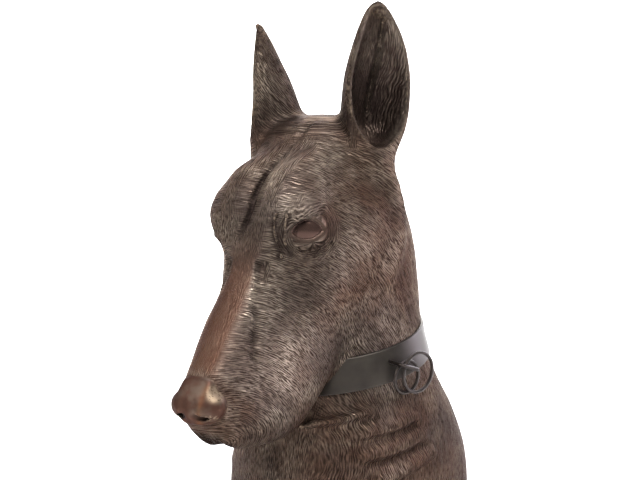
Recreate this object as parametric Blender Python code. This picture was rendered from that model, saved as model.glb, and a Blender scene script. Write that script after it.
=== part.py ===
"""Bronze bust of a Great Dane with upright ears, a collar and two rings.

The bust is one casting: head, ears, neck and chest, cut flat below. Its form is worked out
as a height above the skin, built up from named masses the way a modeller adds clay, and a
closed mesh is drawn where that height is zero. The collar is a band seated in a shallow
channel round the neck. A staple on its left side holds a large and a small ring.

The dog looks along -Y, its left side is +X, and the origin is in the middle of the flat
underside. Lengths are metres.
"""
import bpy
import numpy as np
from mathutils import Matrix, Vector

# Driving sizes of the casting. The figure's masses are shares of the head's length: one
# figure unit is a millimetre on a dog whose head measures 336 mm from nose to nape.
HEAD_LENGTH = 0.336
UNIT = HEAD_LENGTH / 336.0
HEAD_PITCH = np.radians(45.0)
STOP_AHEAD = 143.0
STOP_HEIGHT = 240.0
EAR_HEIGHT = 126.0
RIGHT_EAR_SHARE = 0.89
EAR_TURN = np.radians(58.0)
EYE_RADIUS = 18.0

# Driving sizes of the collar and its rings, which are made to measure and keep them.
COLLAR_WIDTH = 0.028
COLLAR_PROUD = 0.0022
COLLAR_SEAT = 0.0018
COLLAR_TILT = np.radians(14.5)
COLLAR_HEIGHT = 0.43 * HEAD_LENGTH
STAPLE_WIRE = 0.0034
STAPLE_SPAN = 0.0216
STAPLE_BEND = 0.0032
STAPLE_SOCKET = 0.0020
RING_WIRE = 0.0031
LARGE_RING = 0.0355
SMALL_RING = 0.0285
GAP = 0.0003

# Fineness of the drawn skin, and the share of its triangles that the solid keeps.
SKIN_CELL = 0.0026 * HEAD_LENGTH / 0.336
BUST_TRIANGLES = 6400
BASE_SPARE = 0.012


# Curves and clay: small tools that every mass is made with

def curve(s, stations, values):
    """Smooth curve through the stations, read at s: cubic pieces with the mean slopes."""
    xs = np.asarray(stations, np.float32)
    ys = np.asarray(values, np.float32)
    slope = np.gradient(ys, xs).astype(np.float32)
    s = np.clip(s, xs[0], xs[-1])
    i = np.clip(np.searchsorted(xs, s, side="right") - 1, 0, len(xs) - 2)
    span = xs[i + 1] - xs[i]
    t = (s - xs[i]) / span
    rise = t * t * (3.0 - 2.0 * t)
    return (ys[i] * (1.0 - rise) + ys[i + 1] * rise
            + span * t * (1.0 - t) * ((1.0 - t) * slope[i] - t * slope[i + 1]))


def smooth_chain(points, count):
    """Evenly numbered points on a smooth line through the given ones."""
    given = np.asarray(points, np.float32)
    s = np.linspace(0.0, len(given) - 1.0, count)
    order = np.arange(len(given))
    return np.stack([curve(s, order, given[:, j]) for j in range(3)], axis=1)


def join(a, b, blend):
    """Two masses run together, with a fillet about as wide as blend."""
    h = np.maximum(blend - np.abs(a - b), 0.0) / blend
    return np.minimum(a, b) - h * h * blend * 0.25


def cut(a, b, blend):
    """Mass a with mass b taken away, its edge rounded over about blend."""
    return -join(-a, b, blend)


def trim(mass, s, low, high, blend):
    """A mass cut off below s = low and above s = high, with rounded ends."""
    return cut(cut(mass, high - s, blend), s - low, blend)


def egg(p, centre, radii, nod=0.0):
    """Ellipsoid, nodded about the across axis."""
    f, l, u = (p[j] - centre[j] for j in range(3))
    c, s = np.cos(nod), np.sin(nod)
    f, u = f * c + u * s, u * c - f * s
    q = np.sqrt((f / radii[0]) ** 2 + (l / radii[1]) ** 2 + (u / radii[2]) ** 2)
    return (q - 1.0) * min(radii) * np.minimum(1.0, 0.6 + 0.4 * q)


def strand(p, points, first, last=None):
    """Round strand along a chain of points, its radius going from first to last."""
    last = first if last is None else last
    chain = np.asarray(points, np.float32)
    steps = len(chain) - 1
    best = None
    for i in range(steps):
        a, ab = chain[i], chain[i + 1] - chain[i]
        t = sum((p[j] - a[j]) * ab[j] for j in range(3)) / (ab @ ab)
        t = np.clip(t, 0.0, 1.0)
        away = np.sqrt(sum((p[j] - a[j] - t * ab[j]) ** 2 for j in range(3)))
        away = away - (first + (last - first) * (i + t) / steps)
        best = away if best is None else np.minimum(best, away)
    return best


def loft(s, across, up, stations, square):
    """Body along s. Each station has its place, top, bottom, half width above and half
    width below; the section is a superellipse whose width changes with height."""
    rows = np.asarray(stations, np.float32)
    top, low, wide_top, wide_low = (curve(s, rows[:, 0], rows[:, j]) for j in (1, 2, 3, 4))
    half = (top - low) * 0.5
    v = (up - low) / half - 1.0
    share = np.clip(v * 0.5 + 0.5, 0.0, 1.0)
    wide = wide_low + (wide_top - wide_low) * share
    q = (np.abs(across / wide) ** square + np.abs(v) ** square) ** (1.0 / square)
    return (q - 1.0) * np.minimum(wide, half)


# Head frame: f runs forward along the face, l to the dog's left and u up out of the
# forehead, from a point under the stop, where the bridge of the nose meets the brow.

def head_frame(x, y, z):
    ahead = -(y + STOP_AHEAD)
    rise = z - STOP_HEIGHT
    f = ahead * np.cos(HEAD_PITCH) - rise * np.sin(HEAD_PITCH)
    u = ahead * np.sin(HEAD_PITCH) + rise * np.cos(HEAD_PITCH)
    return f, x, u


# Stations: place along the face, top, bottom, half width above, half width below
MUZZLE = [(-40, 12, -96, 46, 58), (-5, 7, -112, 36, 61), (35, 0, -120, 27.5, 63),
          (78, -5, -121, 26.5, 61), (108, -10, -119, 25, 53), (128, -13, -109, 23, 41),
          (144, -16, -93, 21, 27), (158, -18, -78, 19, 18)]
SKULL = [(-165, 0, -60, 40, 48), (-140, 12, -70, 46, 62), (-100, 25, -80, 50, 68),
         (-60, 29, -88, 52, 68), (-28, 24, -90, 47, 61), (0, 11, -90, 36, 55),
         (30, -2, -84, 24, 47)]
# Stations: height, front, back, half width
NECK = [(-20, -122, 138, 105), (40, -119, 131, 101), (80, -109, 105, 96), (116, -97, 72, 89),
        (154, -95, 58, 80), (192, -100, 57, 77), (243, -105, 48, 74), (303, -96, 18, 59),
        (345, -80, -12, 42)]
NECK_TOP = 345.0
NOSE = [(124, -13, -42, 12, 14), (136, -14, -46, 15, 18), (147, -16, -46, 16, 19),
        (156, -20, -44, 14, 15), (164, -25, -41, 10, 10)]


def neck_sizes(z):
    """Half width, middle and half depth of the neck at a height, in figure units."""
    rows = np.asarray(NECK, np.float32)
    front, back, wide = (curve(z, rows[:, 0], rows[:, j]) for j in (1, 2, 3))
    return wide, (front + back) * 0.5, (back - front) * 0.5


def neck(x, y, z):
    wide, middle, deep = neck_sizes(z)
    q = np.sqrt((x / wide) ** 2 + ((y - middle) / deep) ** 2)
    return cut((q - 1.0) * np.minimum(wide, deep), NECK_TOP - z, 20.0)


def muzzle(p):
    """Square muzzle with a flat bridge and deep lips, hollow under the jaw."""
    body = trim(loft(p[0], p[1], p[2], MUZZLE, 3.0), p[0], -40.0, 158.0, 12.0)
    under_jaw = [(0, 0, -138), (60, 0, -140), (112, 0, -138), (150, 0, -128)]
    return cut(body, strand(p, under_jaw, 34.0, 24.0), 14.0)


def skull(p):
    return trim(loft(p[0], p[1], p[2], SKULL, 2.3), p[0], -160.0, 24.0, 30.0)


def cheeks(p, mass):
    """Cheek, side of the jaw, and the soft ridge behind the jaw muscle."""
    mass = join(mass, egg(p, (-72, 44, -54), (46, 31, 40), 0.3), 16.0)
    mass = join(mass, egg(p, (-24, 40, -66), (46, 22, 38)), 16.0)
    return mass


def jaw_ridge(p, mass):
    line = smooth_chain([(-116, 62, -20), (-104, 70, -44), (-80, 72, -74), (-46, 67, -92)], 8)
    return join(mass, strand(p, line, 9.0, 6.5), 12.0)


FURROW = [(6, 0, 15), (0, 0, 16), (-12, 0, 19), (-31, 0, 27), (-77, 0, 31), (-126, 0, 27)]
FURROW_LEAN = ([-140, -100, -60, -20, 20], [17, 13, 7, 0, 0])


def brows(p, across, mass):
    """Two forehead lobes with a deep furrow between them, and a ridge over each eye."""
    lean = (p[0], np.abs(across - curve(p[0], *FURROW_LEAN)), p[2])
    mass = join(mass, egg(lean, (-42, 23, 6), (50, 26, 31)), 9.0)
    mass = join(mass, egg(p, (-31, 44, 12), (17, 9, 10)), 14.0)
    return cut(mass, strand(lean, smooth_chain(FURROW, 12), 1.6, 4.2), 3.0)


def lips(p, mass):
    """Parting under the nose, and the chin that shows in it."""
    parting = [(173, 0, -44), (166, 0, -58), (156, 0, -82), (136, 0, -120)]
    mass = cut(mass, strand(p, parting, 4.0, 14.0), 4.0)
    return join(mass, egg(p, (134, 0, -66), (22, 14, 17)), 2.0)


def nose(p, mass):
    """The nose: a broad pad, flat on top, with a rounder wing on each side, and nostrils."""
    pad = trim(loft(p[0], p[1], p[2], NOSE, 2.6), p[0], 131.0, 162.0, 6.0)
    pad = join(pad, egg(p, (146, 13.5, -32), (11.5, 10.5, 11)), 3.0)
    mass = join(mass, pad, 2.0)
    nostril = [(158, 7, -36), (153, 15, -41), (146, 22, -41), (138, 25, -34)]
    return cut(mass, strand(p, nostril, 3.2, 2.0), 2.0)


EYE_CENTRE = np.array([-21.6, 37.2, -4.4])
GAZE = np.array([0.590, 0.590, 0.550])
GAZE = GAZE / np.linalg.norm(GAZE)
SLOT = np.array([-0.474, 0.803, -0.365])
SLOT = SLOT - GAZE * (SLOT @ GAZE)
SLOT = SLOT / np.linalg.norm(SLOT)
LID_RISE = np.cross(GAZE, SLOT)
LID_REACH = 1.35


def lid_edge(height):
    """Chain of points on the eyeball from the inner to the outer corner, bowed by height."""
    t = np.linspace(-1.0, 1.0, 9)[:, None]
    way = GAZE + SLOT * (LID_REACH * t) + LID_RISE * (height * (1.0 - t * t))
    return EYE_CENTRE + EYE_RADIUS * way / np.linalg.norm(way, axis=1, keepdims=True)


def eyes(p, mass):
    """Eye sockets, lids, and the eyeballs, which stand free of any blend."""
    mass = cut(mass, egg(p, EYE_CENTRE + GAZE * 24.0, (17, 17, 12)), 5.0)
    mass = join(mass, strand(p, lid_edge(0.60), 2.2), 2.0)
    mass = join(mass, strand(p, lid_edge(-0.50), 2.0), 2.5)
    return np.minimum(mass, egg(p, EYE_CENTRE, (EYE_RADIUS,) * 3))


EAR_ROOT = (62.0, -52.0, 322.0)
EAR_WALL = 4.5
# Stations: share of the ear's height, half width, depth behind, half width of the opening,
# depth of the hollow
EAR = [(-0.50, 8, 36, 1, 2), (-0.15, 15, 46, 1, 4), (-0.04, 20, 46, 3, 10), (0.10, 27, 45, 17, 26),
       (0.35, 31, 37, 26.5, 26), (0.60, 28, 26, 23.5, 15), (0.82, 19, 14, 14.5, 7),
       (0.95, 10, 7, 6.5, 4), (1.02, 3, 4, 1, 2)]


def ears(x, y, z, mass):
    """Upright cropped ears: leaf-shaped cups that open outward and a little forward."""
    s = (z - EAR_ROOT[2]) / EAR_HEIGHT
    s = np.where((x < 0.0) & (s > 0.0), s / RIGHT_EAR_SHARE, s)
    dx = np.abs(x) - EAR_ROOT[0] - 2.0 * s
    dy = y - EAR_ROOT[1]
    out = dx * np.sin(EAR_TURN) - dy * np.cos(EAR_TURN)
    side = dx * np.cos(EAR_TURN) + dy * np.sin(EAR_TURN)
    rows = np.asarray(EAR, np.float32)
    wide, deep, leaf, pit = (curve(s, rows[:, 0], rows[:, j]) for j in (1, 2, 3, 4))
    side = side - 3.0 * np.clip(s + 0.2, 0.0, 1.0) * np.clip(3.0 * (1.0 - s), 0.0, 1.0)
    rim = wide * 0.42
    q = np.sqrt((side / wide) ** 2 + (out / np.where(out < 0.0, deep, rim)) ** 2)
    cup = (q - 1.0) * np.minimum(wide, deep)
    cup = trim(cup, s * EAR_HEIGHT, -0.42 * EAR_HEIGHT, EAR_HEIGHT, 9.0)
    inward = np.minimum(out - rim, 0.0)
    q = np.sqrt((side / leaf) ** 2 + (inward / (pit + rim)) ** 2)
    hollow = (q - 1.0) * np.minimum(leaf, pit)
    hollow = trim(hollow, s * EAR_HEIGHT, -0.01 * EAR_HEIGHT, 0.96 * EAR_HEIGHT, 5.0)
    return cut(join(mass, cup, 10.0), hollow, EAR_WALL * 0.8)


# Folds in the neck's skin: chains of points in figure units, and how wide they are
NECK_FOLDS = [([(27, -112, 74), (42, -103, 77), (58, -92, 80), (72, -74, 86)], 3.4),
              ([(52, -102, 57), (71, -84, 64), (84, -60, 70), (93, -32, 73)], 3.4),
              ([(66, -96, 41), (85, -64, 48), (97, -28, 57), (103, 0, 62)], 3.0),
              ([(80, -84, 22), (94, -54, 30), (104, -18, 42)], 3.4)]
CHEST_GROOVE = [(0, -128, -20), (0, -124, 30), (0, -118, 62)]


def folds(x, y, z, mass):
    """Soft folds from the throat to the shoulder, weaker on the right, and the groove down
    the chest."""
    plain, p = mass, (np.abs(x), y, z)
    for chain, wide in NECK_FOLDS:
        line = smooth_chain(chain, 7)
        mass = join(mass, strand(p, line + np.array([-3.5, 0.0, 7.0]), wide * 0.6, wide * 0.9), 9.0)
        mass = cut(mass, strand(p, line, wide * 0.6, wide * 0.4), 7.0)
    mass = np.where(x > 0.0, mass, plain + 0.35 * (mass - plain))
    return cut(mass, strand(p, CHEST_GROOVE, 6.0, 3.0), 10.0)


def height_above_skin(points):
    """Rough distance of each point from the bust's skin, negative inside the bronze."""
    x, y, z = (points[:, j] / UNIT for j in range(3))
    f, l, u = head_frame(x, y, z)
    p = (f, np.abs(l), u)
    mass = join(muzzle(p), skull(p), 20.0)
    mass = cheeks(p, mass)
    mass = join(mass, neck(x, y, z), 16.0)
    mass = folds(x, y, z, mass)
    mass = jaw_ridge(p, mass)
    mass = brows(p, l, mass)
    mass = lips(p, mass)
    mass = nose(p, mass)
    mass = ears(x, y, z, mass)
    mass = eyes(p, mass)
    return mass * UNIT


# Drawing the skin

def grid_values(height, low, counts, cell, block):
    """Heights on a regular grid, worked out only in the blocks that the skin passes."""
    blocks = counts // block
    corner = np.stack(np.meshgrid(*[np.arange(n) for n in blocks], indexing="ij"), -1).reshape(-1, 3)
    middle = low + (corner + 0.5) * cell * block
    rough = height(middle.astype(np.float32))
    side = np.where(rough > 0.0, 1.0, -1.0).reshape(blocks).astype(np.float32)
    place = [np.minimum(np.arange(n + 1) // block, b - 1) for n, b in zip(counts, blocks)]
    values = side[np.ix_(*place)]
    near = corner[np.abs(rough) < 1.5 * cell * block]
    step = np.stack(np.meshgrid(*[np.arange(block + 1)] * 3, indexing="ij"), -1).reshape(-1, 3)
    points = (near[:, None] * block + step[None]).reshape(-1, 3)
    flat = np.unique(np.ravel_multi_index(tuple(points.T), values.shape))
    where = np.stack(np.unravel_index(flat, values.shape), axis=1)
    values.reshape(-1)[flat] = height((low + where * cell).astype(np.float32))
    return values


def separate_sheets(values, rounds=8):
    """Where two sheets of the skin would touch in one grid cell, fills the lowest corner
    between them, so that every edge of the drawn skin has just two faces."""
    for _ in range(rounds):
        filled = 0
        for one, two in ((0, 1), (1, 2), (2, 0)):
            steps = np.zeros((4, 3), int)
            steps[1, one] = steps[2, one] = steps[2, two] = steps[3, two] = 1
            size = np.array(values.shape) - steps[2]
            inside = [values[tuple(slice(a, a + n) for a, n in zip(step, size))] < 0.0 for step in steps]
            crossed = np.argwhere((inside[0] == inside[2]) & (inside[1] == inside[3]) & (inside[0] != inside[1]))
            for face in crossed:
                corners = [tuple(face + step) for step in steps]
                outside = [c for c in corners if values[c] >= 0.0]
                if len(outside) == 2:
                    values[min(outside, key=lambda c: values[c])] = -1e-5
                    filled += 1
        size = np.array(values.shape) - 1
        inside = {c: values[tuple(slice(a, a + n) for a, n in zip(c, size))] < 0.0
                  for c in np.ndindex(2, 2, 2)}
        total = sum(part.astype(np.int8) for part in inside.values())
        for c in list(np.ndindex(2, 2, 2))[:4]:
            far = tuple(1 - a for a in c)
            pair = (inside[c] == inside[far]) & (total == np.where(inside[c], 2, 6))
            for cell in np.argwhere(pair):
                corners = [tuple(cell + step) for step in np.ndindex(2, 2, 2)]
                outside = [k for k in corners if values[k] >= 0.0]
                values[min(outside, key=lambda k: values[k])] = -1e-5
                filled += 1
        if not filled:
            break
    return values


def draw_skin(height, low, high, cell, block=8):
    """Closed skin of quads where the height is zero. Every grid cell that the skin crosses
    gets one point, the mean of the crossings on its edges, and every grid edge that the
    skin crosses joins the points of its four cells with a quad."""
    low = np.asarray(low)
    counts = (np.ceil((np.asarray(high) - low) / (cell * block)) * block).astype(int)
    values = separate_sheets(grid_values(height, low, counts, cell, block))
    inside = values < 0.0
    total = np.zeros(counts, np.int8)
    for corner in np.ndindex(2, 2, 2):
        total += inside[tuple(slice(c, c + n) for c, n in zip(corner, counts))]
    cells = np.argwhere((total > 0) & (total < 8))
    number = np.full(counts, -1, np.int64)
    number[tuple(cells.T)] = np.arange(len(cells))
    axes = np.eye(3, dtype=int)
    place = np.zeros((len(cells), 3))
    hits = np.zeros(len(cells))
    quads = []
    for axis in range(3):
        along, one, two = axes[axis], axes[(axis + 1) % 3], axes[(axis + 2) % 3]
        for a, b in ((0, 0), (0, 1), (1, 0), (1, 1)):
            start = a * one + b * two
            first = values[tuple((cells + start).T)]
            second = values[tuple((cells + start + along).T)]
            crossed = (first < 0.0) != (second < 0.0)
            share = np.where(crossed, first / np.where(crossed, first - second, 1.0), 0.0)
            place += np.where(crossed[:, None], start + along * share[:, None], 0.0)
            hits += crossed
        inner = [slice(1, n) for n in counts]
        ahead = list(inner)
        inner[axis] = slice(0, counts[axis])
        ahead[axis] = slice(1, counts[axis] + 1)
        here, there = inside[tuple(inner)], inside[tuple(ahead)]
        for leaving in (True, False):
            edge = np.argwhere(here & ~there if leaving else ~here & there) + (1 - along)
            quad = np.stack([number[tuple((edge - back).T)] for back in (0 * one, one, one + two, two)], 1)
            quads.append(quad if leaving else quad[:, ::-1])
    points = low + (cells + place / hits[:, None]) * cell
    return points, np.concatenate(quads)


def settle(points, height, rounds=2, step=0.0004, most=0.002):
    """Points slid along the height's slope until they lie on the skin."""
    for _ in range(rounds):
        slope = np.stack([height((points + step * e).astype(np.float32))
                          - height((points - step * e).astype(np.float32)) for e in np.eye(3)], 1) / (2 * step)
        move = height(points.astype(np.float32)) / np.maximum((slope * slope).sum(1), 0.05)
        points = points - np.clip(move, -most, most)[:, None] * slope
    return points


# Objects and materials

def material(name, colour, roughness, metallic):
    made = bpy.data.materials.new(name)
    made.use_nodes = True
    shader = made.node_tree.nodes["Principled BSDF"]
    shader.inputs["Base Color"].default_value = (*colour, 1.0)
    shader.inputs["Roughness"].default_value = roughness
    shader.inputs["Metallic"].default_value = metallic
    return made


def mesh_object(name, points, faces, finish=None):
    mesh = bpy.data.meshes.new(name)
    mesh.from_pydata([tuple(p) for p in points], [], [tuple(int(i) for i in face) for face in faces])
    mesh.validate()
    mesh.shade_smooth()
    made = bpy.data.objects.new(name, mesh)
    bpy.context.scene.collection.objects.link(made)
    if finish is not None:
        made.data.materials.append(finish)
    return made


def cutter(made):
    made.hide_render = True
    made.display_type = "WIRE"
    return made


def take_away(target, tool, name):
    hole = target.modifiers.new(name, "BOOLEAN")
    hole.operation = "DIFFERENCE"
    hole.solver = "EXACT"
    hole.object = tool


# The collar

def collar_ring(angle, level, proud):
    """Point of the neck's skin in the collar's tilted plane, moved out by proud. The angle
    runs from the dog's left side towards its back; level is along the neck's axis."""
    height = np.full_like(angle, COLLAR_HEIGHT + level) / UNIT
    slope = np.tan(COLLAR_TILT)
    z = height
    for _ in range(12):
        wide, middle, deep = neck_sizes(z)
        y = middle + deep * np.sin(angle)
        z = height + slope * y
    wide, middle, deep = (size * UNIT for size in neck_sizes(z))
    return np.stack([(wide + proud) * np.cos(angle), middle + (deep + proud) * np.sin(angle), z * UNIT], -1)


def band(width, proud, seat, around=64):
    """Closed band round the neck: its section, with crowned outside, carried round."""
    angle = np.linspace(0.0, 2.0 * np.pi, around, endpoint=False)
    half = width * 0.5 / np.cos(COLLAR_TILT)
    edge = min(proud * 0.35, half * 0.2)
    section = [(-half, -seat), (half, -seat), (half, proud - edge), (half - edge, proud),
               (0.0, proud + edge * 0.5), (-half + edge, proud), (-half, proud - edge)]
    rows = np.stack([collar_ring(angle, level, out) for level, out in section], axis=1)
    points = rows.reshape(-1, 3)
    n = len(section)
    faces = []
    for i in range(around):
        j = (i + 1) % around
        for k in range(n):
            m = (k + 1) % n
            faces.append((i * n + k, i * n + m, j * n + m, j * n + k))
    return points, faces


# The staple and its rings

STAPLE_ANGLE = np.radians(-20.0)
STAPLE_LEVEL = -0.0025
STAPLE_WAY = (0.959, -0.284)
RING_FACE = (0.95, -0.27, -0.10)
LARGE_RING_PLACE = (0.0125, -0.0062)
SMALL_RING_PLACE = (0.0024, -0.0101)
RING_SIDES = 8
RING_STEPS = 36


def turn_to(direction):
    return Vector(direction).to_track_quat("Z", "Y").to_matrix().to_4x4()


def ring_points(centre, face, radius, steps=72):
    turn = np.array(turn_to(face).to_3x3())
    a = np.linspace(0.0, 2.0 * np.pi, steps, endpoint=False)
    flat = np.stack([np.cos(a), np.sin(a), np.zeros_like(a)], 1) * radius
    return np.asarray(centre) + flat @ turn.T


def height_above_band(points):
    """Distance of points from the collar's face where they are beside it, from the bust
    elsewhere."""
    figure = points / UNIT
    around_neck = neck(figure[:, 0], figure[:, 1], figure[:, 2]) * UNIT
    slope = np.tan(COLLAR_TILT)
    half = COLLAR_WIDTH * 0.5 / np.cos(COLLAR_TILT)
    off_band = np.abs(points[:, 2] - slope * points[:, 1] - COLLAR_HEIGHT) - half
    return around_neck - np.where(off_band < RING_WIRE, COLLAR_PROUD * 1.2, 0.0)


def hang(middle, right, up, face, diameter, place, others):
    """Centre of a ring under the staple, its line and how far it stands off: as near the neck
    as it goes, clear of it and of the other rings."""
    stand_off = 0.0
    while True:
        at = middle + right * place[0] + up * place[1] + face * stand_off
        line = ring_points(at, face, diameter * 0.5)
        least = np.min(height_above_band(line))
        for other in others:
            apart = np.linalg.norm(line[:, None] - other[None], axis=2)
            least = min(least, np.min(apart) - RING_WIRE * 0.5)
        if least > RING_WIRE * 0.5 + GAP:
            return at, line, stand_off
        stand_off += GAP


def drilled(name, foot, face, depth):
    """Cutter for the hole that a foot of the staple stands in."""
    bpy.ops.mesh.primitive_cylinder_add(vertices=16, radius=STAPLE_WIRE * 0.5 + GAP,
                                        depth=2.0 * (depth + GAP))
    made = cutter(bpy.context.object)
    made.name = name
    made.matrix_world = Matrix.Translation(foot) @ turn_to(face)
    return made


def make_staple(middle, along, face, rise, collar, finish, sides=12):
    """Bent wire with a straight bar and two feet, each in a hole drilled in the collar."""
    half = STAPLE_SPAN * 0.5
    sunk = []
    for sign in (-1.0, 1.0):
        foot = middle + along * (half * sign)
        depth = STAPLE_SOCKET
        while height_above_band((foot - face * (depth - STAPLE_SOCKET))[None])[0] > 0.0:
            depth += GAP
        sunk.append(depth)
        take_away(collar, drilled("foot_hole", foot, face, depth), "Foot hole")
    path = [(-half, -sunk[0])]
    for t in np.radians((0.0, 30.0, 60.0, 90.0)):
        path.append((-half + STAPLE_BEND * (1.0 - np.cos(t)), rise - STAPLE_BEND * (1.0 - np.sin(t))))
    path += [(-s, h) for s, h in path[:0:-1]] + [(half, -sunk[1])]
    path = np.array(path)
    way = np.gradient(path, axis=0)
    way[0], way[-1] = (0.0, 1.0), (0.0, -1.0)
    way /= np.linalg.norm(way, axis=1, keepdims=True)
    across = np.cross(along, face)
    turn = np.linspace(0.0, 2.0 * np.pi, sides, endpoint=False)
    points, faces = [], []
    for (s, h), (ws, wh) in zip(path, way):
        centre = middle + along * s + face * h
        beside = face * ws - along * wh
        points += [centre + (beside * np.cos(a) + across * np.sin(a)) * STAPLE_WIRE * 0.5 for a in turn]
    for k in range(len(path) - 1):
        for i in range(sides):
            n = (i + 1) % sides
            faces.append((k * sides + i, k * sides + n, (k + 1) * sides + n, (k + 1) * sides + i))
    faces.append(tuple(range(sides - 1, -1, -1)))
    faces.append(tuple(range((len(path) - 1) * sides, len(path) * sides)))
    return mesh_object("ring_staple", [tuple(v) for v in points], faces, finish)


def make_ring(name, centre, face, diameter, finish):
    bpy.ops.mesh.primitive_torus_add(major_radius=diameter * 0.5, minor_radius=RING_WIRE * 0.5,
                                     major_segments=RING_STEPS, minor_segments=RING_SIDES)
    made = bpy.context.object
    made.name = name
    made.data.name = name
    made.data.materials.append(finish)
    made.data.shade_smooth()
    made.matrix_world = Matrix.Translation(centre) @ turn_to(face)
    return made


def make_bust(finish):
    low = np.array([-112.0, -262.0, -BASE_SPARE / UNIT]) * UNIT
    high = np.array([112.0, 146.0, 458.0]) * UNIT
    floor = -BASE_SPARE * 0.5

    def closed_below(points):
        return np.maximum(height_above_skin(points), floor - points[:, 2])

    points, faces = draw_skin(closed_below, low, high, SKIN_CELL)
    points = settle(points, closed_below)
    made = mesh_object("dog_bust", points, faces, finish)
    fewer = made.modifiers.new("Fewer faces", "DECIMATE")
    fewer.decimate_type = "COLLAPSE"
    fewer.ratio = BUST_TRIANGLES / (2.0 * len(faces))
    channel = cutter(mesh_object("collar_channel", *band(COLLAR_WIDTH + 2.0 * GAP, COLLAR_PROUD * 4.0,
                                                         COLLAR_SEAT + GAP)))
    take_away(made, channel, "Collar channel")
    bpy.ops.mesh.primitive_cube_add(size=1.0)
    floor_block = cutter(bpy.context.object)
    floor_block.name = "floor_block"
    floor_block.scale = (2.0 * HEAD_LENGTH, 2.0 * HEAD_LENGTH, 0.1)
    floor_block.location = (0.0, 0.0, -0.05)
    take_away(made, floor_block, "Flat underside")
    return made


def main():
    for old in list(bpy.data.objects):
        bpy.data.objects.remove(old, do_unlink=True)
    bronze = material("Brown patinated bronze", (0.105, 0.068, 0.050), 0.42, 1.0)
    grey_bronze = material("Grey patinated bronze", (0.118, 0.104, 0.092), 0.45, 1.0)
    dark_bronze = material("Dark bronze wire", (0.060, 0.050, 0.043), 0.38, 1.0)
    make_bust(bronze)
    collar = mesh_object("collar", *band(COLLAR_WIDTH, COLLAR_PROUD, COLLAR_SEAT), grey_bronze)
    middle = collar_ring(np.array([STAPLE_ANGLE]), STAPLE_LEVEL, COLLAR_PROUD)[0]
    face = np.array(RING_FACE) / np.linalg.norm(RING_FACE)
    right = np.cross((0.0, 0.0, 1.0), face)
    right /= np.linalg.norm(right)
    up = np.cross(face, right)
    small, small_line, stand_off = hang(middle, right, up, face, SMALL_RING, SMALL_RING_PLACE, [])
    large, large_line, stand_off = hang(middle, right, up, face, LARGE_RING, LARGE_RING_PLACE, [small_line])
    rise = stand_off + (RING_WIRE + STAPLE_WIRE) * 0.5 + GAP
    make_staple(middle, right * STAPLE_WAY[0] + up * STAPLE_WAY[1], face, rise, collar, dark_bronze)
    make_ring("ring_small", small, face, SMALL_RING, dark_bronze)
    make_ring("ring_large", large, face, LARGE_RING, dark_bronze)


main()
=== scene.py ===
# %% [markdown]
# # A bronze Great Dane bust
# The object is a life-size bronze casting of a dog's head, neck and upper chest, with a plain
# collar, a staple and two rings. The form is clay-like: a few large masses run together, then
# creases, lids and lips, and over all of it fine chased hair. This lesson builds the casting
# as one height function in numpy, draws its skin, and gives the skin the coordinates that the
# hair strokes of the material follow. The collar is a swept profile; the staple and rings keep their CAD
# shapes.

import bpy
import numpy as np
from mathutils import Matrix, Vector


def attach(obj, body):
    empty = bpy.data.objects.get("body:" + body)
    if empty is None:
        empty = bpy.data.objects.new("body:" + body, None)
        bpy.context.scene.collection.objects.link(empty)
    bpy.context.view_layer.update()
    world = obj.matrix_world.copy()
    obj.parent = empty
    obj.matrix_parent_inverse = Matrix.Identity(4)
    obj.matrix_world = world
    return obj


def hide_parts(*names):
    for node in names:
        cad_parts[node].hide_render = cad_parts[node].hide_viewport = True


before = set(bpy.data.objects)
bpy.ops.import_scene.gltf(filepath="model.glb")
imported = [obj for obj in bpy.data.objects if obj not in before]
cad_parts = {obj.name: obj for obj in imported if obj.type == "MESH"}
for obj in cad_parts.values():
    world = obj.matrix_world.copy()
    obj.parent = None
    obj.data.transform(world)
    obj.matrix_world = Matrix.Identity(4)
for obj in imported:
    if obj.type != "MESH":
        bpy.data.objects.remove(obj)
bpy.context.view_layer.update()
MM = 0.001

# %% [markdown]
# ## Clay tools
# Every mass is a function of position that is negative inside and positive outside, roughly
# the distance to its surface in millimetres. Two masses run together by taking the smaller
# value with a fillet, and a crease is cut by taking one away from the other. It could be
# sculpted by hand instead, but a function keeps every size readable and gives the same
# surface at any fineness.

# %% Curves, joins and simple masses
def curve(s, stations, values):
    """Smooth curve through the stations, read at s: cubic pieces with the mean slopes."""
    xs = np.asarray(stations, np.float32)
    ys = np.asarray(values, np.float32)
    slope = np.gradient(ys, xs).astype(np.float32)
    s = np.clip(s, xs[0], xs[-1])
    i = np.clip(np.searchsorted(xs, s, side="right") - 1, 0, len(xs) - 2)
    span = xs[i + 1] - xs[i]
    t = (s - xs[i]) / span
    rise = t * t * (3.0 - 2.0 * t)
    return (ys[i] * (1.0 - rise) + ys[i + 1] * rise
            + span * t * (1.0 - t) * ((1.0 - t) * slope[i] - t * slope[i + 1]))


def smooth_chain(points, count):
    """Evenly numbered points on a smooth line through the given ones."""
    given = np.asarray(points, np.float32)
    s = np.linspace(0.0, len(given) - 1.0, count)
    return np.stack([curve(s, np.arange(len(given)), given[:, j]) for j in range(3)], axis=1)


def step_up(x, low, high):
    """0 below low, 1 above high, and a smooth rise between: t*t*(3 - 2*t)."""
    t = np.clip((x - low) / (high - low), 0.0, 1.0)
    return t * t * (3.0 - 2.0 * t)


def step_down(x, low, high):
    """1 below low, 0 above high: one less the rise."""
    return 1.0 - step_up(x, low, high)


def between(x, start, full, fade, end):
    """1 from full to fade, 0 before start and after end: a rise times a fall."""
    return step_up(x, start, full) * step_down(x, fade, end)


def join(a, b, blend):
    """Two masses run together, with a fillet about as wide as blend."""
    h = np.maximum(blend - np.abs(a - b), 0.0) / blend
    return np.minimum(a, b) - h * h * blend * 0.25


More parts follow.
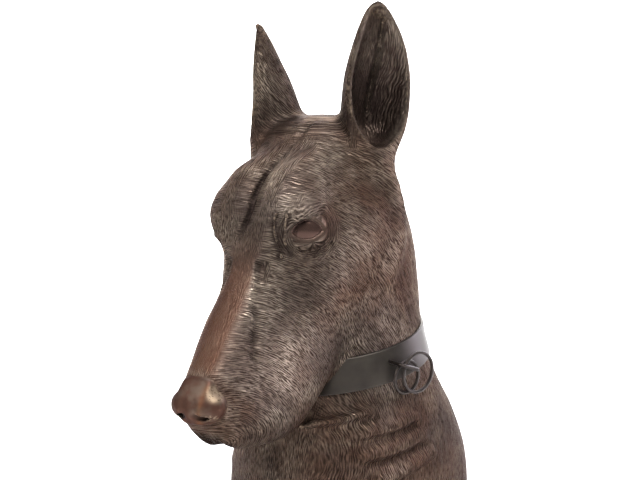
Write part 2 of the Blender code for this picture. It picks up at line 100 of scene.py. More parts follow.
def cut(a, b, blend):
    """Mass a with mass b taken away, its edge rounded over about blend."""
    return -join(-a, b, blend)


def trim(mass, s, low, high, blend):
    """A mass cut off below s = low and above s = high, with rounded ends."""
    return cut(cut(mass, high - s, blend), s - low, blend)


def egg(p, centre, radii, nod=0.0):
    """Ellipsoid: the length of the position divided by the radii, less 1. nod turns it in
    pitch."""
    f, l, u = (p[j] - centre[j] for j in range(3))
    c, s = np.cos(nod), np.sin(nod)
    f, u = f * c + u * s, u * c - f * s
    q = np.sqrt((f / radii[0]) ** 2 + (l / radii[1]) ** 2 + (u / radii[2]) ** 2)
    return (q - 1.0) * min(radii) * np.minimum(1.0, 0.6 + 0.4 * q)


def strand(p, points, first, last=None):
    """Round strand along a chain of points: distance to the chain, less a radius that goes
    from first to last."""
    last = first if last is None else last
    chain = np.asarray(points, np.float32)
    steps = len(chain) - 1
    best = None
    for i in range(steps):
        a, ab = chain[i], chain[i + 1] - chain[i]
        t = np.clip(sum((p[j] - a[j]) * ab[j] for j in range(3)) / (ab @ ab), 0.0, 1.0)
        away = np.sqrt(sum((p[j] - a[j] - t * ab[j]) ** 2 for j in range(3)))
        away = away - (first + (last - first) * (i + t) / steps)
        best = away if best is None else np.minimum(best, away)
    return best


def loft(s, across, up, stations, square):
    """Body along s. Each station has its place, top, bottom, half width above and half width
    below; the section is |across/wide|^square + |height|^square = 1."""
    rows = np.asarray(stations, np.float32)
    top, low, wide_top, wide_low = (curve(s, rows[:, 0], rows[:, j]) for j in (1, 2, 3, 4))
    half = (top - low) * 0.5
    v = (up - low) / half - 1.0
    wide = wide_low + (wide_top - wide_low) * np.clip(v * 0.5 + 0.5, 0.0, 1.0)
    q = (np.abs(across / wide) ** square + np.abs(v) ** square) ** (1.0 / square)
    return (q - 1.0) * np.minimum(wide, half)


def drift(x, y, z, seed):
    """Smooth random value from -1 to 1: a number for each corner of a unit grid, blended
    with t*t*(3 - 2*t) between the corners."""
    cell = [np.floor(v).astype(np.int64) for v in (x, y, z)]
    part = [v - c for v, c in zip((x, y, z), cell)]
    part = [t * t * (3.0 - 2.0 * t) for t in part]
    total = 0.0
    for a, b, c in np.ndindex(2, 2, 2):
        h = (cell[0] + a) * 374761393 + (cell[1] + b) * 668265263
        h = h + (cell[2] + c) * 2147483647 + seed * 144665
        h = (h ^ (h >> 13)) * 1274126177 & 0xFFFFFFFF
        value = ((h ^ (h >> 16)) & 0xFFFF) / 32767.5 - 1.0
        share = part[0] if a else 1 - part[0]
        share = share * (part[1] if b else 1 - part[1]) * (part[2] if c else 1 - part[2])
        total = total + value * share
    return total


# %% [markdown]
# ## The figure's masses
# The head has its own frame: f runs forward along the face, l to the dog's left, u up out of
# the forehead, from a point under the stop where the bridge meets the brow. It is pitched 45
# degrees down. The left and right halves are alike, so the head is worked out with |l|.

# %% Head and neck
HEAD_PITCH = np.radians(45.0)
STOP_AHEAD = 143.0
STOP_HEIGHT = 240.0

MUZZLE = [(-40, 12, -96, 46, 58), (-5, 7, -112, 36, 61), (35, 0, -120, 27.5, 63),
          (78, -5, -121, 26.5, 61), (108, -10, -119, 25, 53), (128, -13, -109, 23, 41),
          (144, -16, -93, 21, 27), (158, -18, -78, 19, 18)]
SKULL = [(-165, 0, -60, 40, 48), (-140, 12, -70, 46, 62), (-100, 25, -80, 50, 68),
         (-60, 29, -88, 52, 68), (-28, 24, -90, 47, 61), (0, 11, -90, 36, 55),
         (30, -2, -84, 24, 47)]
NECK = [(-20, -122, 138, 105), (40, -119, 131, 101), (80, -109, 105, 96), (116, -97, 72, 89),
        (154, -95, 58, 80), (192, -100, 57, 77), (243, -105, 48, 74), (303, -96, 18, 59),
        (345, -80, -12, 42)]
NECK_TOP = 345.0


def head_frame(x, y, z):
    """Position in the head's frame: ahead and rise from the stop, turned by the pitch."""
    ahead, rise = -(y + STOP_AHEAD), z - STOP_HEIGHT
    f = ahead * np.cos(HEAD_PITCH) - rise * np.sin(HEAD_PITCH)
    u = ahead * np.sin(HEAD_PITCH) + rise * np.cos(HEAD_PITCH)
    return f, x, u


def neck_sizes(z):
    """Half width, middle and half depth of the neck's oval section at a height."""
    rows = np.asarray(NECK, np.float32)
    front, back, wide = (curve(z, rows[:, 0], rows[:, j]) for j in (1, 2, 3))
    return wide, (front + back) * 0.5, (back - front) * 0.5


def neck(x, y, z):
    """Neck and chest: an oval that changes with height, rounded off inside the skull."""
    wide, middle, deep = neck_sizes(z)
    q = np.sqrt((x / wide) ** 2 + ((y - middle) / deep) ** 2)
    return cut((q - 1.0) * np.minimum(wide, deep), NECK_TOP - z, 20.0)


def head(p):
    """Square muzzle hollow under the jaw, skull, cheeks and the side of the jaw."""
    body = trim(loft(p[0], p[1], p[2], MUZZLE, 3.0), p[0], -40.0, 158.0, 12.0)
    under_jaw = [(0, 0, -138), (60, 0, -140), (112, 0, -138), (150, 0, -128)]
    body = cut(body, strand(p, under_jaw, 34.0, 24.0), 14.0)
    skull = trim(loft(p[0], p[1], p[2], SKULL, 2.3), p[0], -160.0, 24.0, 30.0)
    mass = join(body, skull, 20.0)
    mass = join(mass, egg(p, (-72, 44, -54), (46, 31, 40), 0.3), 16.0)
    return join(mass, egg(p, (-24, 40, -66), (46, 22, 38)), 16.0)


# %% [markdown]
# ## Creases and folds
# Each crease is a thin round strand cut out of the skin along a chain of points, and each
# fold is a strand joined on. Their places were read off the photo and set in the
# head's frame. A sharp crease has a small blend and a soft fold a wide one.

# %% Folds of the neck, jaw, brow and muzzle
NOSE = [(124, -12.5, -40, 13, 14), (136, -13.5, -43, 16, 17), (147, -16, -42, 17, 17),
        (156, -20, -40, 15, 14), (164, -25, -38, 11, 10)]
RIGHT_FOLD_SHARE = 0.35
NECK_FOLDS = [([(27, -112, 74), (42, -103, 77), (58, -92, 80), (72, -74, 86)], 2.4),
              ([(72, -79, 66), (84, -56, 70), (92, -32, 76)], 3.0),
              ([(74, -80, 46), (87, -54, 50), (97, -24, 58)], 3.0),
              ([(86, -72, 26), (96, -46, 31), (103, -14, 42)], 2.4)]
JAW_RIDGE = [(-116, 62, -20), (-104, 70, -44), (-80, 72, -74), (-46, 67, -92)]
CHEST_GROOVE = [(0, -128, -20), (0, -124, 30), (0, -118, 62)]
FURROW = [(6, 0, 15), (0, 0, 16), (-12, 0, 19), (-31, 0, 27), (-77, 0, 28.5), (-126, 0, 26)]
FURROW_LEAN = ([-140, -100, -77, -50, -31, -12, -3, 8], [12, 8, 3, -2, -3, -4, -7, -11])
BROW_CREASES = [([(-17, 42, 32), (-24, 49, 30), (-32, 54, 22), (-38, 57, 12)], 1.5),
                ([(-12, 33, 29), (-3, 31, 24), (5, 33, 14), (12, 29, 5)], 1.6),
                ([(-20, 24, 35), (-6, 25, 28), (4, 24, 19), (14, 27, 6)], 1.5),
                ([(8, 36, 4), (3, 43, -7), (-8, 50, -18), (-22, 56, -22)], 1.6)]
BROW_RIDGES = [([(-10, 28, 27), (-2, 27, 23), (6, 29, 13), (14, 31, 1)], 1.3),
               ([(-12, 36, 25), (-2, 35, 18), (5, 35, 9), (8, 38, -2)], 1.2)]
MUZZLE_GROOVE = [(24, 18, 0), (42, 21, -7), (59, 24, -14), (78, 27, -22), (95, 30, -30)]
EAR_WRINKLES = [([(-135, 38, 32), (-122, 50, 26), (-112, 60, 14)], 2.0),
                ([(-128, 34, 33), (-116, 47, 25), (-106, 58, 12)], 1.7)]


def folds(x, y, z, mass):
    """Soft folds from the throat to the shoulder, weaker on the right, and the groove down
    the chest."""
    plain, p = mass, (np.abs(x), y, z)
    for chain, wide in NECK_FOLDS:
        line = smooth_chain(chain, 7)
        lip = line + np.array([-3.5, 0.0, 7.0])
        mass = join(mass, strand(p, lip, wide * 0.6, wide * 0.9), 9.0)
        mass = cut(mass, strand(p, line, wide * 0.6, wide * 0.4), 7.0)
    mass = np.where(x > 0.0, mass, plain + RIGHT_FOLD_SHARE * (mass - plain))
    return cut(mass, strand(p, CHEST_GROOVE, 6.0, 3.0), 10.0)


def face(p, across, mass):
    """Jaw ridge, forehead lobes with their furrow, brow creases and the muzzle's groove. The
    lobes and the furrow lean to one side, and the creases sway a little, as hand work does."""
    mass = join(mass, strand(p, smooth_chain(JAW_RIDGE, 8), 9.0, 6.5), 12.0)
    lean = (p[0], np.abs(across - curve(p[0], *FURROW_LEAN)), p[2])
    mass = join(mass, egg(lean, (-44, 21, 6), (48, 24.5, 31)), 8.0)
    mass = join(mass, egg(p, (-31, 44, 12), (17, 9, 10)), 14.0)
    mass = cut(mass, strand(lean, smooth_chain(FURROW, 12), 2.5, 1.7), 4.5)
    sway = 1.6 * drift(p[0] / 8.0, p[1] / 9.0, p[2] / 8.0, 5)
    swayed = (p[0], p[1] + sway, p[2])
    plain = mass
    for chain, wide in BROW_RIDGES:
        mass = join(mass, strand(swayed, smooth_chain(chain, 6), wide), 3.5)
    for chain, wide in BROW_CREASES:
        mass = cut(mass, strand(swayed, smooth_chain(chain, 6), wide), 3.5)
    left = step_up(across, -12.0, 0.0)
    mass = plain + (mass - plain) * (RIGHT_FOLD_SHARE + (1.0 - RIGHT_FOLD_SHARE) * left)
    for chain, wide in EAR_WRINKLES:
        mass = cut(mass, strand(p, smooth_chain(chain, 6), wide), 2.5)
    return cut(mass, strand(swayed, smooth_chain(MUZZLE_GROOVE, 7), 1.4, 0.8), 8.0)


def nose_pad(p):
    """The nose: a broad pad, flat on top, with a rounder wing on each side."""
    pad = loft(p[0], p[1], p[2], NOSE, 4.4)
    pad = trim(pad, p[0], 130.0, 162.0, 5.0)
    return join(pad, egg(p, (146, 14, -30.5), (12, 11, 11)), 3.0)


PARTING = [(173, 0, -44), (166, 0, -58), (156, 0, -82), (136, 0, -120)]
NOSTRIL = [(162, 7, -27), (158, 12, -30), (153, 17, -32)]
WING_DENT = [(150, 5, -12), (159, 6, -19), (163, 6, -27)]
LIP_CLEFT = [(164, 0, -20), (164, 0, -34), (161, 0, -46)]
PAD_EDGE = [(129, 0, -11), (130, 9, -12), (131, 17, -15), (133, 23, -21), (137, 26, -29),
            (143, 25, -38)]


def mouth(p, mass):
    """Parting under the nose, the chin in it, and the nose pad with wings and nostrils."""
    mass = cut(mass, strand(p, PARTING, 4.0, 14.0), 4.0)
    mass = join(mass, egg(p, (134, 0, -66), (22, 14, 17)), 2.0)
    mass = join(mass, nose_pad(p), 1.5)
    mass = cut(mass, strand(p, NOSTRIL, 2.7, 2.2), 1.2)
    mass = cut(mass, strand(p, WING_DENT, 0.8, 1.4), 5.0)
    mass = cut(mass, strand(p, LIP_CLEFT, 0.9, 1.6), 2.0)
    return cut(mass, strand(p, smooth_chain(PAD_EDGE, 12), 1.0, 1.5), 2.0)


# %% [markdown]
# ## Eyes
# The eyeball is a plain sphere in a socket. The skin of the lids is a second sphere, a
# millimetre larger and left open between two curves that bow from corner to corner. A thin
# strand along each curve makes the lid's edge, so the edge always lies on the ball.

# %% Eyes
EYE_CENTRE = np.array([-21.6, 37.2, -4.4])
EYE_RADIUS = 18.0
GAZE = np.array([0.590, 0.590, 0.550])
GAZE = GAZE / np.linalg.norm(GAZE)
SLOT = np.array([-0.474, 0.803, -0.365])
SLOT = SLOT - GAZE * (SLOT @ GAZE)
SLOT = SLOT / np.linalg.norm(SLOT)
LID_RISE = np.cross(GAZE, SLOT)
LID_REACH = 1.35
UPPER_LID, LOWER_LID = 0.72, -0.46


def lid_edge(height, out=0.0):
    """Chain on the eyeball from the inner to the outer corner, bowed by height*(1 - t*t)."""
    t = np.linspace(-1.0, 1.0, 11)[:, None]
    way = GAZE + SLOT * (LID_REACH * t) + LID_RISE * (height * (1.0 - t * t))
    return EYE_CENTRE + (EYE_RADIUS + out) * way / np.linalg.norm(way, axis=1, keepdims=True)


def eyeball(p):
    return egg(p, EYE_CENTRE, (EYE_RADIUS,) * 3)


def lid_gap(p):
    """Opening between the lids: millimetres inside the nearer edge, negative outside."""
    way = [p[j] - EYE_CENTRE[j] for j in range(3)]
    ahead, along, rise = (sum(w * e for w, e in zip(way, axis)) for axis in (GAZE, SLOT, LID_RISE))
    ahead = np.maximum(ahead, 4.0)
    bow = 1.0 - (along / ahead / LID_REACH) ** 2
    return EYE_RADIUS * np.minimum(UPPER_LID * bow - rise / ahead, rise / ahead - LOWER_LID * bow)


def eyes(p, mass):
    """Socket, the skin of the lids with their thin edges, and the ball."""
    mass = cut(mass, egg(p, EYE_CENTRE + GAZE * 22.0, (14, 14, 8)), 2.5)
    skin = cut(egg(p, EYE_CENTRE, (EYE_RADIUS + 1.0,) * 3), -lid_gap(p), 0.8)
    mass = join(mass, skin, 1.5)
    mass = join(mass, strand(p, lid_edge(UPPER_LID, 0.8), 1.3), 1.5)
    mass = join(mass, strand(p, lid_edge(LOWER_LID, 0.5), 1.0), 1.5)
    return np.minimum(mass, eyeball(p))


# %% [markdown]
# ## Ears
# An ear is a leaf-shaped cup. Its outside is an oval that changes with height, the hollow is
# a second oval inside it, and the wall left between them is the ear's thickness. The right
# ear is a little shorter than the left.

# %% Ears
EAR_ROOT = (62.0, -52.0, 322.0)
EAR_HEIGHT = 126.0
RIGHT_EAR_SHARE = 0.89
EAR_TURN = np.radians(58.0)
EAR_WALL = 4.5
RIM_SHARE = 0.42  # how far the rim stands out through the opening, of the half width
# Stations: share of the height, half width, depth behind, opening's half width, its depth
EAR = [(-0.50, 8, 36, 1, 2), (-0.15, 15, 46, 1, 4), (-0.04, 20, 46, 4, 10), (0.10, 27, 45, 19, 26),
       (0.35, 31, 37, 28.2, 26), (0.60, 28, 26, 25.3, 15), (0.82, 19, 14, 16.2, 7),
       (0.95, 10, 7, 7.5, 4), (1.02, 3, 4, 1, 2)]


def ear_frame(x, y, z):
    """Share of the ear's height, and the place to its side and out through its opening."""
    s = (z - EAR_ROOT[2]) / EAR_HEIGHT
    s = np.where((x < 0.0) & (s > 0.0), s / RIGHT_EAR_SHARE, s)
    dx = np.abs(x) - EAR_ROOT[0] - 2.0 * s
    dy = y - EAR_ROOT[1]
    out = dx * np.sin(EAR_TURN) - dy * np.cos(EAR_TURN)
    side = dx * np.cos(EAR_TURN) + dy * np.sin(EAR_TURN)
    side = side - 3.0 * np.clip(s + 0.2, 0.0, 1.0) * np.clip(3.0 * (1.0 - s), 0.0, 1.0)
    return s, side, out


def ear_sizes(s):
    rows = np.asarray(EAR, np.float32)
    return (curve(s, rows[:, 0], rows[:, j]) for j in (1, 2, 3, 4))


def ear_hollow(s, side, out):
    """The cup's hollow: an oval leaf behind the rim, cut off below and above."""
    wide, _, leaf, pit = ear_sizes(s)
    rim = wide * RIM_SHARE
    q = np.sqrt((side / leaf) ** 2 + (np.minimum(out - rim, 0.0) / (pit + rim)) ** 2)
    hollow = (q - 1.0) * np.minimum(leaf, pit)
    return trim(hollow, s * EAR_HEIGHT, -0.01 * EAR_HEIGHT, 0.96 * EAR_HEIGHT, 5.0)


def ears(x, y, z, mass):
    """Both cups joined on, hollowed, with one low rib up the inside of each."""
    s, side, out = ear_frame(x, y, z)
    wide, deep, _, _ = ear_sizes(s)
    q = np.sqrt((side / wide) ** 2 + (out / np.where(out < 0.0, deep, wide * RIM_SHARE)) ** 2)
    cup = (q - 1.0) * np.minimum(wide, deep)
    cup = trim(cup, s * EAR_HEIGHT, -0.42 * EAR_HEIGHT, EAR_HEIGHT, 9.0)
    mass = cut(join(mass, cup, 10.0), ear_hollow(s, side, out), EAR_WALL * 0.8)
    rib = side - 3.0 - 4.0 * s
    inner = (out < wide * 0.2) & (s > 0.05) & (s < 0.9)
    fold = np.where(inner, 1.3 * np.exp(-(rib / 3.0) ** 2) * np.sin(np.pi * np.clip(s, 0, 1)), 0.0)
    return mass + fold


def figure(points):
    """Height of each point above the bust's skin in metres, negative inside the bronze."""
    x, y, z = (points[:, j] / MM for j in range(3))
    f, l, u = head_frame(x, y, z)
    p = (f, np.abs(l), u)
    mass = join(head(p), neck(x, y, z), 16.0)
    mass = folds(x, y, z, mass)
    mass = face(p, l, mass)
    mass = mouth(p, mass)
    mass = ears(x, y, z, mass)
    mass = eyes(p, mass)
    return np.maximum(mass, -z) * MM


# %% [markdown]
# ## Drawing the skin
# A closed net of quads is drawn where the height is zero: a grid cell that the skin crosses
# gets one point, and a grid edge that it crosses gets one quad. The points then slide down
# the slope of the height until they lie on the skin. Fewer, well placed triangles are kept.

# %% Net of quads round a height function
def grid_values(height, low, counts, cell, block):
    """Heights on a regular grid, worked out only in the blocks that the skin passes."""
    blocks = counts // block
    corner = np.meshgrid(*[np.arange(n) for n in blocks], indexing="ij")
    corner = np.stack(corner, -1).reshape(-1, 3)
    rough = height((low + (corner + 0.5) * cell * block).astype(np.float32))
    side = np.where(rough > 0.0, 1.0, -1.0).reshape(blocks).astype(np.float32)
    place = [np.minimum(np.arange(n + 1) // block, b - 1) for n, b in zip(counts, blocks)]
    values = side[np.ix_(*place)]
    near = corner[np.abs(rough) < 1.5 * cell * block]
    step = np.stack(np.meshgrid(*[np.arange(block + 1)] * 3, indexing="ij"), -1).reshape(-1, 3)
    points = (near[:, None] * block + step[None]).reshape(-1, 3)
    flat = np.unique(np.ravel_multi_index(tuple(points.T), values.shape))
    where = np.stack(np.unravel_index(flat, values.shape), axis=1)
    values.reshape(-1)[flat] = height((low + where * cell).astype(np.float32))
    return values


def draw_skin(height, low, high, cell, block=8):
    """Points and quads of the closed skin: each point is the mean of the places where the
    skin crosses the edges of its grid cell."""
    low = np.asarray(low)
    counts = (np.ceil((np.asarray(high) - low) / (cell * block)) * block).astype(int)
    values = grid_values(height, low, counts, cell, block)
    inside = values < 0.0
    total = np.zeros(counts, np.int8)
    for corner in np.ndindex(2, 2, 2):
        total += inside[tuple(slice(c, c + n) for c, n in zip(corner, counts))]
    cells = np.argwhere((total > 0) & (total < 8))
    number = np.full(counts, -1, np.int64)
    number[tuple(cells.T)] = np.arange(len(cells))
    axes = np.eye(3, dtype=int)
    place, hits, quads = np.zeros((len(cells), 3)), np.zeros(len(cells)), []
    for axis in range(3):
        along, one, two = axes[axis], axes[(axis + 1) % 3], axes[(axis + 2) % 3]
        for start in (0 * one, one, two, one + two):
            first = values[tuple((cells + start).T)]
            second = values[tuple((cells + start + along).T)]
            crossed = (first < 0.0) != (second < 0.0)
            share = np.where(crossed, first / np.where(crossed, first - second, 1.0), 0.0)
            place += np.where(crossed[:, None], start + along * share[:, None], 0.0)
            hits += crossed
        here, there = [slice(1, n) for n in counts], [slice(1, n) for n in counts]
        here[axis], there[axis] = slice(0, counts[axis]), slice(1, counts[axis] + 1)
        here, there = inside[tuple(here)], inside[tuple(there)]
        for leaving in (True, False):
            edge = np.argwhere(here & ~there if leaving else ~here & there) + (1 - along)
            quad = [number[tuple((edge - back).T)] for back in (0 * one, one, one + two, two)]
            quad = np.stack(quad, 1)
            quads.append(quad if leaving else quad[:, ::-1])
    return low + (cells + place / hits[:, None]) * cell, np.concatenate(quads)


def slope_of(points, height, step=0.0004):
    """Slope of the height at the points, by central differences."""
    rise = [height((points + step * e).astype(np.float32))
            - height((points - step * e).astype(np.float32)) for e in np.eye(3)]
    return np.stack(rise, 1) / (2 * step)


def settle(points, height, rounds=2, most=0.0015):
    """Points slid along the slope until they lie on the skin, and their outward normals."""
    for _ in range(rounds):
        slope = slope_of(points, height)
        size = np.maximum((slope * slope).sum(1), 0.05)
        move = np.clip(height(points.astype(np.float32)) / size, -most, most)
        points = points - move[:, None] * slope
    return points, slope / np.linalg.norm(slope, axis=1, keepdims=True)


def mesh_piece(name, points, faces, smooth=True):
    """Mesh object from whole arrays: points (n, 3) and faces (m, 3 or 4)."""
    mesh = bpy.data.meshes.new(name)
    size = faces.shape[1]
    mesh.vertices.add(len(points))
    mesh.vertices.foreach_set("co", np.ascontiguousarray(points, np.float32).ravel())
    mesh.loops.add(faces.size)
    mesh.loops.foreach_set("vertex_index", np.ascontiguousarray(faces, np.int32).ravel())
    mesh.polygons.add(len(faces))
    mesh.polygons.foreach_set("loop_start", np.arange(len(faces), dtype=np.int32) * size)
    mesh.update(calc_edges=True)
    mesh.validate()
    if smooth:
        mesh.shade_smooth()
    made = bpy.data.objects.new(name, mesh)
    bpy.context.scene.collection.objects.link(made)
    return made


CELL = 0.0013
LOW = np.array([-0.110, -0.252, -0.006])
HIGH = np.array([0.110, 0.144, 0.452])
points, quads = draw_skin(figure, LOW, HIGH, CELL)
points, normals = settle(points, figure)
print("skin", len(points), "points")

# %% [markdown]
# ## Combing the hair
# The hair strokes of the bronze run in different directions over the body, so the skin gets
# combed coordinates: the first number counts across the strokes and the second along them.
# On the side of the head and neck the strokes follow arcs about a point in front of the
# throat: level on the muzzle, 45 degrees down on the cheek, straight down on the neck. Round
# the eye they are rings, in the ears a fan, and elsewhere they run straight down. A texture
# that read plain object coordinates could not turn with the form like this.

# %% Combed coordinates
COMB_CENTRE = (-215.0, 70.0)
FRONT, EYE, EAR_SHEET = 60.0, 90.0, 120.0  # each pattern reads its own sheet of the noise


def combing(points, normals):
    """Combed coordinates in millimetres and the share of each pattern, per point."""
    x, y, z = (points[:, j] / MM for j in range(3))
    f, l, u = head_frame(x, y, z)
    p = (f, np.abs(l), u)
    away = np.hypot(y - COMB_CENTRE[0], z - COMB_CENTRE[1])
    turn = np.arctan2(z - COMB_CENTRE[1], y - COMB_CENTRE[0])
    side_comb = np.stack([away, away * turn, 0.02 * x], 1)
    front_comb = np.stack([x, away * turn, np.full_like(x, FRONT)], 1)
    away_eye = np.sqrt(sum((p[j] - EYE_CENTRE[j]) ** 2 for j in range(3)))
    around = np.arctan2(p[2] - EYE_CENTRE[2], (p[1] - EYE_CENTRE[1]) - (p[0] - EYE_CENTRE[0]))
    eye_comb = np.stack([away_eye, 22.0 * around, np.full_like(x, EYE)], 1)
    s, side, out = ear_frame(x, y, z)
    wide, deep, _, _ = (np.maximum(size, 4.0) for size in ear_sizes(s))
    cup = step_down(ear_hollow(s, side, out), 0.0, 2.0)
    behind = np.where(out < 0.0, deep, RIM_SHARE * wide)
    fan = 30.0 * np.arctan2(side / wide, 0.3 - out / behind) + s * 60.0
    fan = fan * (1.0 - cup) + (side * 27.0 / wide - s * 16.0) * cup
    ear_comb = np.stack([fan, s * EAR_HEIGHT, EAR_SHEET + 0.02 * x], 1)
    muzzle = step_up(f, 0.0, 30.0) * between(u, -135.0, -120.0, -45.0, -30.0)
    on_neck = step_up(y, -135.0, -122.0) * step_down(z, 150.0, 180.0)
    turned_away = np.abs(normals[:, 0]) * (1.0 - on_neck)
    turned_away = turned_away + np.abs(x) / neck_sizes(z)[0] * on_neck
    in_ear = step_up(s, 0.0, 0.14) * step_up(np.hypot(side, out), 60.0, 45.0 + 5.0 * (s > 0.2))
    by_eye = between(away_eye, 15.0, 18.0, 24.0, 34.0)
    front = step_down(turned_away, 0.22, 0.5) * (1.0 - muzzle)
    shares = [front * (1.0 - in_ear), by_eye * (1.0 - in_ear), step_up(s, 0.0, 0.12)]
    shares = np.stack(shares, 1)
    return side_comb, front_comb, eye_comb, ear_comb, shares


# %% [markdown]
# ## Where each finish lies
# A mask is a number from 0 to 1 for each point of the skin: how deep it lies in a recess, how
# much it stands on a ridge, and how much of it is ball, lid, nose, bridge or ear. They could
# be painted by hand, but the masses above already say where every part is.

# %% Recesses, ridges, eyes and nose
RECESS_REACH, RIDGE_REACH = 5.0, 3.0


def depth_masks(points, normals):
    """Recess and ridge: 1 less the height a little above the skin, or below it, divided by
    the way gone and by the slope there."""
    def height_at(reach):
        return figure((points + reach * MM * normals).astype(np.float32))

    steep = np.clip((height_at(0.5) - height_at(-0.5)) / MM, 0.3, 1.5)
    above = height_at(RECESS_REACH) / (RECESS_REACH * MM * steep)
    below = -height_at(-RIDGE_REACH) / (RIDGE_REACH * MM * steep)
    return np.clip(1.0 - above, 0.0, 1.0), np.clip(1.0 - below, 0.0, 1.0)


def eye_masks(p):
    """The ball between the lids, and the smooth lids round it, which carry painted shade about the ball.
    """
    gap = lid_gap(p)
    away = np.sqrt(sum((p[j] - EYE_CENTRE[j]) ** 2 for j in range(3)))
    ball = step_down(np.abs(eyeball(p)), 0.15, 0.6) * step_up(gap, -1.0, 0.5)
    return ball, step_down(away, 20.2, 21.6) * step_up(gap, -3.6, -1.8)


def nose_masks(p, l):
    """The nose pad, the tan patch on its left wing, polished by rubbing and also a painted highlight, the
    streak beside it, and the chin.
    """
    f, u = p[0], p[2]
    nose = step_down(nose_pad(p), 0.5, 1.6)
    patch = ((l - 18.0) / 8.0) ** 2 + ((f - 141.0) / 9.0) ** 2 + ((u + 22.0) / 9.0) ** 2
    wing = step_up(nose * np.exp(-patch), 0.25, 0.75)
    streak = nose * np.exp(-((l - 9.5 - 0.25 * (u + 28.0)) / 2.4) ** 2)
    streak = streak * step_up(f, 134.0, 140.0) * step_up(u, -40.0, -32.0)
    chin = step_up(f, 128.0, 136.0) * step_down(np.abs(l), 12.0, 16.0)
    chin = chin * step_down(u, -56.0, -50.0) * step_up(u, -92.0, -84.0)
    return nose, wing, 0.3 * streak, chin


# %% Muzzle, ears and all masks together
def muzzle_masks(f, l, u, s, normals):
    """The reddish bridge, and a band of painted highlight in light strokes beside it and on the brow,
    mostly the left.
    """
    up_face = normals[:, 2] * np.cos(HEAD_PITCH) - normals[:, 1] * np.sin(HEAD_PITCH)
    bridge = between(f, -10.0, 50.0, 122.0, 134.0) * step_down(np.abs(l), 10.0, 23.0)
    bridge = bridge * step_up(u, -40.0, -30.0) * step_up(up_face, 0.45, 0.9)
    beside = step_down(np.abs(l) - 0.06 * f, 28.0, 40.0) * step_up(u, -60.0, -40.0)
    band = between(f, 15.0, 45.0, 118.0, 132.0) * step_up(np.abs(normals[:, 0]), 0.25, 0.5)
    band = band * (0.5 + 0.5 * beside) * step_up(u, -112.0, -80.0)
    brow = between(f, -120.0, -90.0, -15.0, 5.0) * step_up(u, -10.0, 15.0)
    brow = brow * step_down(s, -0.1, 0.1) * (0.15 + 0.6 * step_up(l, -8.0, 8.0))
    return bridge, np.maximum(band, brow)


def ear_masks(x, s, side, out):
    """The ear's cup, the painted shade low in its hollow, and the light rim."""
    inside = ear_hollow(s, side, out)
    cup = step_down(inside, -0.5, 1.5) * step_up(np.abs(x), 30.0, 40.0)
    hollow = cup * np.exp(-((side - 8.0 + 4.0 * s) / 11.0) ** 2 - ((s - 0.26) / 0.30) ** 2)
    rim = step_down(np.abs(inside), 0.8, 2.4) * step_up(s, 0.02, 0.1) * step_up(out, -6.0, 0.0)
    return cup, hollow, rim


def masks(points, normals):
    """Every mask by name. Hair is what the smooth finishes leave."""
    x, y, z = (points[:, j] / MM for j in range(3))
    f, l, u = head_frame(x, y, z)
    p = (f, np.abs(l), u)
    s, side, out = ear_frame(x, y, z)
    recess, ridge = depth_masks(points, normals)
    ball, lid = eye_masks(p)
    nose, wing, streak, chin = nose_masks(p, l)
    bridge, band = muzzle_masks(f, l, u, s, normals)
    cup, hollow, rim = ear_masks(x, s, side, out)
    hair = (1.0 - ball) * (1.0 - nose) * (1.0 - 0.75 * bridge) * (1.0 - 0.3 * chin)
    hair = hair * (1.0 - 0.6 * cup) * (1.0 - lid)
    # band is painted highlight with the ears' light rims; lid and hollow mark painted shade; recess is
    # patina and painted shade
    return {"hair": hair, "recess": recess * (1.0 - 0.6 * cup), "ridge": ridge * (1.0 - lid),
            "ball": ball, "lid": lid * (1.0 - ball), "nose": nose, "wing": wing,
            "streak": streak, "chin": chin, "bridge": bridge, "band": np.maximum(band, rim),
            "hollow": hollow, "in_ear": step_up(s, 0.0, 0.25) * (1.0 - rim)}


# %% Locks of hair in the skin
LOCK_ACROSS, LOCK_ALONG, LOCK_HEIGHT = 5.5, 26.0, 0.34
CHIN_RIB_TURN, CHIN_RIB_HEIGHT = 1.9, 0.5  # radians per millimetre, and millimetres


def locks(comb, seed):
    """Smooth random height, stretched along the comb."""
    return drift(comb[:, 0] / LOCK_ACROSS, comb[:, 1] / LOCK_ALONG, comb[:, 2], seed)


side_comb, front_comb, eye_comb, ear_comb, shares = combing(points, normals)
mask = masks(points, normals)
lock = (locks(side_comb, 1) * (1.0 - shares.max(1)) + locks(front_comb, 2) * shares[:, 0]
        + locks(ear_comb, 3) * shares[:, 2])
chin_rib = np.sin(points[:, 0] / MM * CHIN_RIB_TURN) * mask["chin"] * CHIN_RIB_HEIGHT
relief = (LOCK_HEIGHT * lock * mask["hair"] + chin_rib) * MM
points = points + normals * relief[:, None]
points[:, 2] = np.maximum(points[:, 2], 0.0)
print("locks", round(float(np.abs(relief).max() / MM), 2), "mm high at most")

# %% Fewer faces, with the combing on what is left
MOST_TRIANGLES = 190000
rough_bust = mesh_piece("rough_bust", points, quads)
ratio = min(1.0, MOST_TRIANGLES / (2.0 * len(quads)))
if ratio < 1.0:
    fewer = rough_bust.modifiers.new("Fewer faces", "DECIMATE")
    fewer.ratio = ratio
evaluated = rough_bust.evaluated_get(bpy.context.evaluated_depsgraph_get())
kept = bpy.data.meshes.new_from_object(evaluated)
bpy.data.objects.remove(rough_bust, do_unlink=True)
kept.name = "bronze_bust"
kept.shade_smooth()
bust = bpy.data.objects.new("bronze_bust", kept)
bpy.context.scene.collection.objects.link(bust)
points = np.empty(3 * len(kept.vertices), np.float32)
kept.vertices.foreach_get("co", points)
points = points.reshape(-1, 3)
normals = slope_of(points, figure)
normals = normals / np.maximum(np.linalg.norm(normals, axis=1, keepdims=True), 1e-6)


